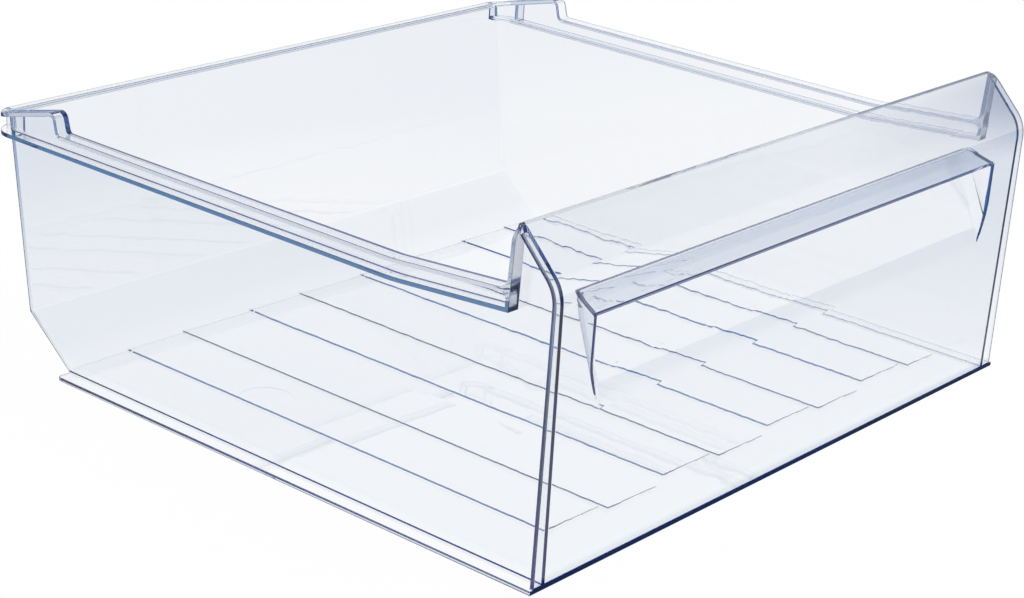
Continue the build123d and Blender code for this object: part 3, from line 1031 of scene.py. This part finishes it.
white = (1.0, 1.0, 1.0)
studio = {
    "floorSize": 12.0,
    "floorDrop": 0.3,            # the floor lies this far under the drawer, so that their faces stay apart
    "floorColor": (0.80, 0.80, 0.80),
    "floorWhite": 0.98,          # share of plain white that the camera sees; the rest keeps the shadow
    "floorMirrored": 0.85,       # the same for reflections, which show a pool of light on a calmer floor
    "poolStretch": (0.75, 1.0, 1.0),
    "poolCentre": (-0.04, -0.02, 0.0),
    "poolFade": (0.20, 0.62),
    "floorShade": (0.23, 0.34, 0.54),
    "contactShadow": 7.0,              # width of the painted contact shadow, a dark line that the front's foot mirrors
    "contactShadowEdge": 2.0,          # and of that line's soft edges
    "deepShade": (0.02, 0.13, 0.40),   # met by light that has run on inside the walls; also the painted contact shadow's colour
    "deepAfter": 2.5,            # reflections
    "surround": [                # shade of the room by height of view, 0 level and 1 straight up
        (0.0, white),
        (0.40, white),
        (0.62, (0.45, 0.54, 0.69)),
        (1.0, (0.26, 0.38, 0.58)),
    ],
    "aheadFrom": (-0.1, 0.3),    # the room is calm ahead and above, bright behind
}
lamps = {                        # place, aim, size and power
    "keyLamp": ((0.6, -0.9, 1.6), (0.0, 0.0, 0.0), (1.6, 1.0), 22.0),
    "fillLamp": ((-1.6, 0.9, 1.3), (0.0, 0.0, 0.1), (1.2, 1.2), 10.0),
}
view = {
    "place": (-1.029204, -0.838099, 0.543402),
    "turn": (69.1125, -3.6477, -49.5118),
    "lens": 84.42,
    "sensor": 36.0,
    "clip": (0.01, 50.0),
    "bounces": 160,              # light runs far along inside the walls before it gets out
}


def seenStraight(tree):
    # 1 for the camera and for rays that pass through plastic without a reflection
    path = tree.nodes.new("ShaderNodeLightPath").outputs
    unreflected = mathNode(tree, "LESS_THAN", path["Glossy Depth"], 0.5)
    through = times(tree, path["Is Transmission Ray"], unreflected)
    return mathNode(tree, "MAXIMUM", path["Is Camera Ray"], through)


def runInside(tree):
    # 1 for rays reflected again and again inside the walls
    path = tree.nodes.new("ShaderNodeLightPath").outputs
    return mathNode(tree, "GREATER_THAN", path["Glossy Depth"], studio["deepAfter"])


def mixed(tree, amount, first, second):
    node = nodeOf(tree, "ShaderNodeMixShader", Fac=amount)
    feed(tree, node.inputs[1], first)
    feed(tree, node.inputs[2], second)
    return node.outputs[0]


def paleFloor():
    material = bpy.data.materials.new("paleFloor")
    material.use_nodes = True
    tree = material.node_tree
    tree.nodes.clear()
    lit = nodeOf(tree, "ShaderNodeBsdfDiffuse", Color=(*studio["floorColor"], 1.0)).outputs[0]
    glow = nodeOf(tree, "ShaderNodeEmission", Color=(*white, 1.0)).outputs[0]
    plain = mixed(tree, studio["floorWhite"], lit, glow)
    place = tree.nodes.new("ShaderNodeTexCoord").outputs["Object"]
    stretched = nodeOf(tree, "ShaderNodeMapping", Vector=place, Scale=studio["poolStretch"]).outputs[0]
    away = tree.nodes.new("ShaderNodeVectorMath")
    away.operation = "DISTANCE"
    feed(tree, away.inputs[0], stretched)
    feed(tree, away.inputs[1], studio["poolCentre"])
    near, far = studio["poolFade"]
    fade = nodeOf(tree, "ShaderNodeMapRange", Value=away.outputs["Value"], From_Min=near, From_Max=far)
    fade.interpolation_type = "SMOOTHSTEP"
    pool = blend(tree, fade.outputs["Result"], white, studio["floorShade"])
    y = axesOf(tree, place)["Y"]
    # painted contact shadow: a dark band on the floor just ahead of the front, seen in reflections only
    first, soft = frontY - studio["contactShadow"], studio["contactShadowEdge"]
    begun = ranged(tree, y, (first, first + soft), unit=mm)
    over = ranged(tree, y, (frontY, frontY + soft), (1.0, 0.0), unit=mm)
    pool = blend(tree, times(tree, begun, over), pool, studio["deepShade"])
    pool = blend(tree, runInside(tree), pool, studio["deepShade"])
    shade = nodeOf(tree, "ShaderNodeEmission", Color=pool).outputs[0]
    mirrored = mixed(tree, studio["floorMirrored"], lit, shade)
    nodeOf(tree, "ShaderNodeOutputMaterial", Surface=mixed(tree, seenStraight(tree), mirrored, plain))
    half = studio["floorSize"] / 2 / mm
    ring = [(-half, -half), (half, -half), (half, half), (-half, half)]
    floor = newPiece("studioFloor", [(x, y, -studio["floorDrop"]) for x, y in ring], [(0, 1, 2, 3)])
    floor.data.materials.append(material)


def paleWorld():
    world = bpy.data.worlds.new("paleStudio")
    bpy.context.scene.world = world
    world.use_nodes = True
    tree = world.node_tree
    way = axesOf(tree, tree.nodes.new("ShaderNodeTexCoord").outputs["Generated"])
    ahead = ranged(tree, way["Y"], studio["aheadFrom"], (1.0, 0.0))
    ramp = nodeOf(tree, "ShaderNodeValToRGB", Fac=times(tree, way["Z"], ahead))
    stops = ramp.color_ramp.elements
    ramp.color_ramp.interpolation = "EASE"
    while len(stops) < len(studio["surround"]):
        stops.new(0.5)
    for stop, (height, shade) in zip(stops, studio["surround"]):
        stop.position = height
        stop.color = (*shade, 1.0)
    shade = blend(tree, runInside(tree), ramp.outputs["Color"], studio["deepShade"])
    feed(tree, tree.nodes["Background"].inputs["Color"], blend(tree, seenStraight(tree), shade, white))


def softLamp(name, place, aim, size, power):
    data = bpy.data.lights.new(name, "AREA")
    data.shape = "RECTANGLE"
    data.size, data.size_y = size
    data.energy = power
    lamp = bpy.data.objects.new(name, data)
    lamp.location = place
    lamp.rotation_euler = (Vector(aim) - Vector(place)).to_track_quat("-Z", "Y").to_euler()
    lamp.visible_glossy = False          # no lamp's outline in the plastic
    lamp.visible_transmission = False
    bpy.context.scene.collection.objects.link(lamp)


def photoCamera():
    data = bpy.data.cameras.new("photoCamera")
    data.sensor_width = view["sensor"]
    data.lens = view["lens"]
    data.clip_start, data.clip_end = view["clip"]
    camera = bpy.data.objects.new("photoCamera", data)
    camera.location = view["place"]
    camera.rotation_euler = [math.radians(angle) for angle in view["turn"]]
    bpy.context.scene.collection.objects.link(camera)
    bpy.context.scene.camera = camera


print("setting up the floor, light and camera")
paleFloor()
paleWorld()
for name, settings in lamps.items():
    softLamp(name, *settings)
photoCamera()
scene = bpy.context.scene
scene.view_settings.view_transform = "Standard"
scene.cycles.max_bounces = view["bounces"]
scene.cycles.transmission_bounces = view["bounces"]
scene.cycles.glossy_bounces = view["bounces"]
